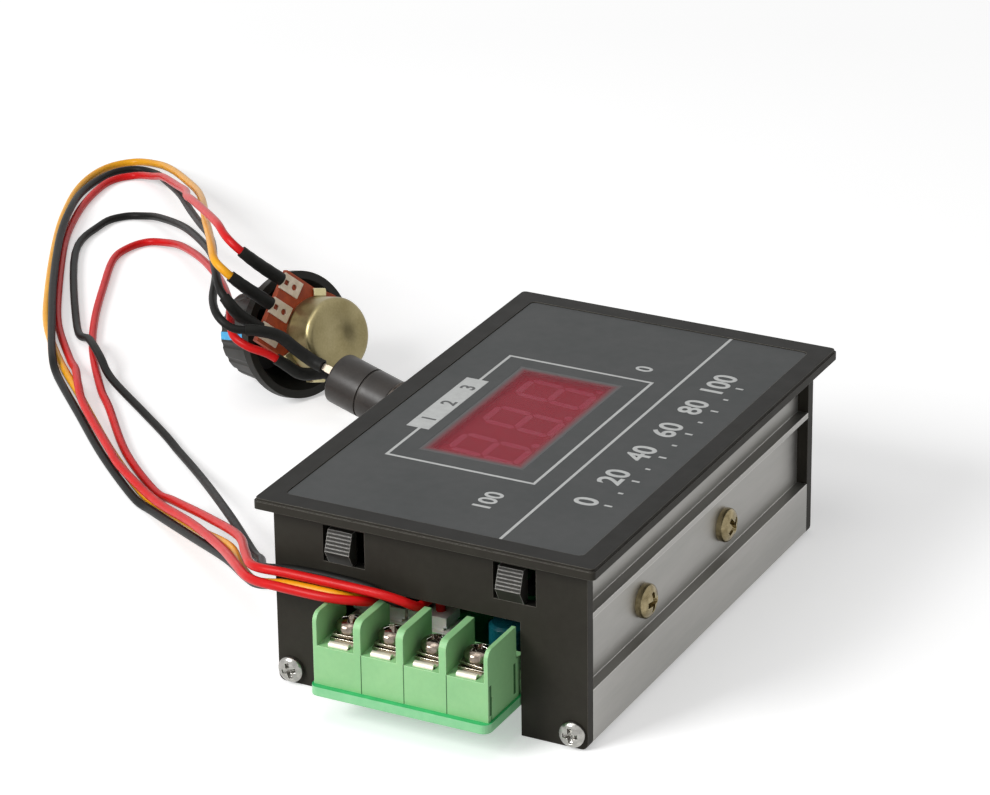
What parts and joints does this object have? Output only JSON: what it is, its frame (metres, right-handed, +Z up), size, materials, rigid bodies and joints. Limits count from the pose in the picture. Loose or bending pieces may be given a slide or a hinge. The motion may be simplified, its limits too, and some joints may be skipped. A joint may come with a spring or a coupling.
{
  "type": "motor speed controller",
  "caption": "Panel-mount motor speed controller: rectangular cased unit with a numeric display, side heat sinks and a screw terminal block, with a knob and a push switch on flying leads.",
  "frame": {"origin": "centre of the bezel's outline, on the plane the case stands on", "axes": "+X to the right along the short side, +Y from the terminal end to the back, +Z up from the base to the bezel face"},
  "size_m": [0.2123, 0.2069, 0.0362],
  "materials": {
    "case_plastic": "fine satin texture",
    "overlay_film": "printed matt film",
    "red_filter": "smooth tinted",
    "bare_aluminium": "extruded",
    "inner_black": "plain",
    "nickel_steel": "plated",
    "yellow_zinc": "yellow plated",
    "chip_black": "moulded",
    "board_green": "lacquered",
    "terminal_green": "moulded",
    "tinned_metal": "tinned",
    "display_body": "moulded",
    "capacitor_sleeve": "shrink sleeve",
    "capacitor_teal": "shrink sleeve",
    "white_nylon": "moulded",
    "pot_metal": "passivated",
    "phenolic": "pressed laminate",
    "knob_black": "moulded",
    "pointer_blue": "moulded",
    "switch_black": "moulded",
    "button_red": "moulded",
    "spring_steel": "drawn wire",
    "shrink_black": "shrunk sleeve",
    "lead_yellow": "extruded",
    "lead_black": "extruded",
    "lead_red": "extruded"
  },
  "bodies": {
    "case": {"housing": "case_plastic", "overlay_panel": "overlay_film", "display_filter": "red_filter", "heat_sink_right": "bare_aluminium", "heat_sink_left": "bare_aluminium", "bottom_cover": "inner_black", "corner_screws": "nickel_steel", "side_screws": "yellow_zinc", "clamp_bar_right": "bare_aluminium", "clamp_bar_left": "bare_aluminium", "power_transistors": "chip_black", "power_diodes": "chip_black", "main_board": "board_green", "terminal_block": "terminal_green", "terminal_contacts": "tinned_metal", "display_board": "board_green", "led_display": "display_body", "display_screws": "nickel_steel", "board_link": "chip_black", "filter_capacitors": "capacitor_sleeve", "input_capacitor": "capacitor_teal", "controller_chip": "chip_black", "pot_socket": "white_nylon", "switch_socket": "white_nylon", "pot_plug": "white_nylon", "switch_plug": "white_nylon", "pot_can": "pot_metal", "pot_board": "phenolic", "pot_lugs": "tinned_metal", "pot_bushing": "nickel_steel", "pot_washer": "nickel_steel", "pot_nut": "nickel_steel", "switch_body": "switch_black", "switch_neck": "nickel_steel", "switch_nut": "nickel_steel", "switch_spring": "spring_steel", "switch_lugs": "tinned_metal", "pot_sleeves": "shrink_black", "switch_sleeves": "shrink_black", "wire_yellow": "lead_yellow", "wire_black_outer": "lead_black", "wire_red_outer": "lead_red", "wire_red_inner": "lead_red", "wire_black_inner": "lead_black"},
    "knob": {"knob": "knob_black", "knob_pointer": "pointer_blue", "pot_shaft": "bare_aluminium"},
    "button": {"switch_button": "button_red"},
    "tab_front_left": {"snap_tab_front_left": "case_plastic"},
    "tab_front_right": {"snap_tab_front_right": "case_plastic"},
    "tab_rear_left": {"snap_tab_rear_left": "case_plastic"},
    "tab_rear_right": {"snap_tab_rear_right": "case_plastic"},
    "clamp_1": {"terminal_clamp_1": "nickel_steel"},
    "screw_1": {"terminal_screw_1": "nickel_steel"},
    "clamp_2": {"terminal_clamp_2": "nickel_steel"},
    "screw_2": {"terminal_screw_2": "nickel_steel"},
    "clamp_3": {"terminal_clamp_3": "nickel_steel"},
    "screw_3": {"terminal_screw_3": "nickel_steel"},
    "clamp_4": {"terminal_clamp_4": "nickel_steel"},
    "screw_4": {"terminal_screw_4": "nickel_steel"}
  },
  "joints": [
    {"name": "knob_turn", "type": "hinge", "parent": "case", "child": "knob", "pos_m": [-0.07928, 0.0562, 0.01342], "axis": [-0.8931, 0.3554, -0.2756], "range_deg": [-78, 222]},
    {"name": "button_press", "type": "slide", "parent": "case", "child": "button", "axis": [-0.9661, 0.153, 0.2079], "range_m": [0, 0.0024], "stiffness_N_per_m": 500, "springref_m": -0.002},
    {"name": "tab_front_left_flex", "type": "hinge", "parent": "case", "child": "tab_front_left", "pos_m": [-0.0162, -0.0454, 0.0244], "axis": [-1, 0, 0], "range_deg": [0, 12], "stiffness_Nm_per_rad": 0.02, "springref_deg": -2.86},
    {"name": "tab_front_right_flex", "type": "hinge", "parent": "case", "child": "tab_front_right", "pos_m": [0.015, -0.0454, 0.0244], "axis": [-1, 0, 0], "range_deg": [0, 12], "stiffness_Nm_per_rad": 0.02, "springref_deg": -2.86},
    {"name": "tab_rear_left_flex", "type": "hinge", "parent": "case", "child": "tab_rear_left", "pos_m": [-0.015, 0.043, 0.0244], "axis": [1, 0, 0], "range_deg": [0, 12], "stiffness_Nm_per_rad": 0.02, "springref_deg": -2.86},
    {"name": "tab_rear_right_flex", "type": "hinge", "parent": "case", "child": "tab_rear_right", "pos_m": [0.0162, 0.043, 0.0244], "axis": [1, 0, 0], "range_deg": [0, 12], "stiffness_Nm_per_rad": 0.02, "springref_deg": -2.86},
    {"name": "clamp_1_lift", "type": "slide", "parent": "case", "child": "clamp_1", "axis": [0, 0, 1], "range_m": [0, 0.0015]},
    {"name": "screw_1_turn", "type": "hinge", "parent": "clamp_1", "child": "screw_1", "pos_m": [-0.0117, -0.0515, 0.014], "axis": [0, 0, 1], "range_deg": [-60, 1260]},
    {"name": "clamp_2_lift", "type": "slide", "parent": "case", "child": "clamp_2", "axis": [0, 0, 1], "range_m": [0, 0.0015]},
    {"name": "screw_2_turn", "type": "hinge", "parent": "clamp_2", "child": "screw_2", "pos_m": [-0.0039, -0.0515, 0.014], "axis": [0, 0, 1], "range_deg": [-60, 1260]},
    {"name": "clamp_3_lift", "type": "slide", "parent": "case", "child": "clamp_3", "axis": [0, 0, 1], "range_m": [0, 0.0015]},
    {"name": "screw_3_turn", "type": "hinge", "parent": "clamp_3", "child": "screw_3", "pos_m": [0.0039, -0.0515, 0.014], "axis": [0, 0, 1], "range_deg": [-60, 1260]},
    {"name": "clamp_4_lift", "type": "slide", "parent": "case", "child": "clamp_4", "axis": [0, 0, 1], "range_m": [0, 0.0015]},
    {"name": "screw_4_turn", "type": "hinge", "parent": "clamp_4", "child": "screw_4", "pos_m": [0.0117, -0.0515, 0.014], "axis": [0, 0, 1], "range_deg": [-60, 1260]}
  ],
  "couplings": [
    {"joint": "screw_1_turn", "follows": "clamp_1_lift", "rad_per_m": 12566},
    {"joint": "screw_2_turn", "follows": "clamp_2_lift", "rad_per_m": 12566},
    {"joint": "screw_3_turn", "follows": "clamp_3_lift", "rad_per_m": 12566},
    {"joint": "screw_4_turn", "follows": "clamp_4_lift", "rad_per_m": 12566}
  ]
}
